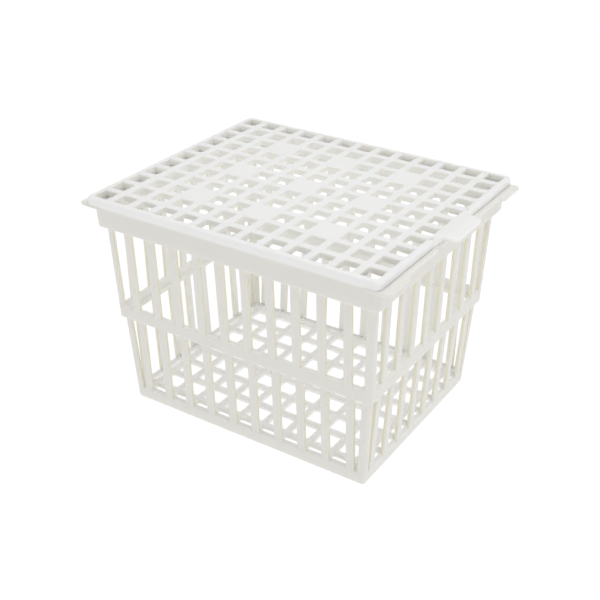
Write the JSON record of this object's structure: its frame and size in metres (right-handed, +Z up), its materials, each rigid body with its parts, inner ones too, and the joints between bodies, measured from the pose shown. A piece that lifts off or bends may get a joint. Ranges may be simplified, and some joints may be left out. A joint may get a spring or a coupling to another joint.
{
  "type": "slatted basket with grid lid",
  "caption": "Small tapered basket with slatted sides, a lattice floor and a hinged grid lid with a thumb tab, in white plastic",
  "frame": {"origin": "bottom centre of the object's box, 1.9 mm in front of the middle of the basket", "axes": "+Y along the basket from the thumb tab to the hinge, +X across it, +Z up out of the basket"},
  "size_m": [0.134, 0.1712, 0.116],
  "materials": {
    "basket_white": "semi-gloss moulded polypropylene, warm white",
    "lid_white": "semi-gloss moulded polypropylene, white"
  },
  "bodies": {
    "basket": {"wall_front": "basket_white", "wall_rear": "basket_white", "wall_left": "basket_white", "wall_right": "basket_white", "rim": "basket_white", "base": "basket_white"},
    "lid": {"lid": "lid_white"}
  },
  "joints": [
    {"name": "lid_hinge", "type": "hinge", "parent": "basket", "child": "lid", "pos_m": [0, 0.0823, 0.1113], "axis": [-1, 0, 0], "range_deg": [0, 100]}
  ]
}
